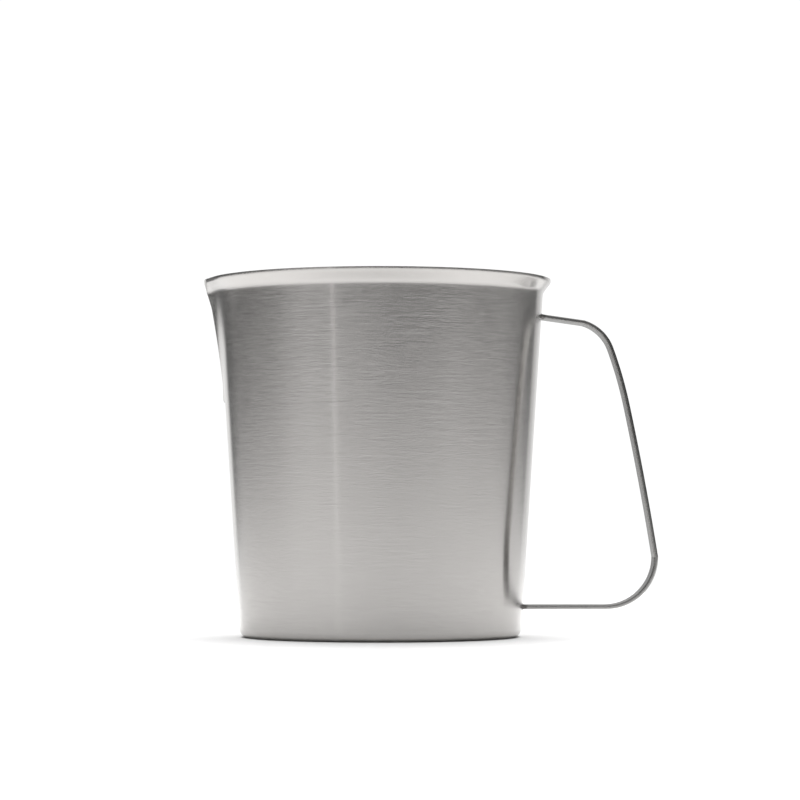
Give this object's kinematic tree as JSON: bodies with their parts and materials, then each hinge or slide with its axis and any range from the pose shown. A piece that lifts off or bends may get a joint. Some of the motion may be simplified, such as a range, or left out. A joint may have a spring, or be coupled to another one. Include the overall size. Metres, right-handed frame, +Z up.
{
  "type": "candle melting pot",
  "caption": "Brushed stainless-steel melting and pouring pot for candle wax: tapered one-piece cup with a flared rim and a small spout, and a bent flat strap handle welded to the wall.",
  "frame": {"origin": "centre of the flat base, on the cup's axis, at the plane it stands on", "axes": "+Z up along the cup's axis, +X towards the strap handle, so the spout points to -X"},
  "size_m": [0.1615, 0.1216, 0.127],
  "materials": {
    "cup_steel": "stainless sheet, brushed round the cup's axis",
    "strap_steel": "stainless strap, brushed lengthwise, edges smooth",
    "weld_metal": "stainless weld bead, cleaned, slightly darker than the sheet"
  },
  "bodies": {
    "root": {"pot_body": "cup_steel", "handle_strap": "strap_steel", "upper_weld_top": "weld_metal", "upper_weld_bottom": "weld_metal", "lower_weld_top": "weld_metal", "lower_weld_bottom": "weld_metal"}
  },
  "joints": []
}
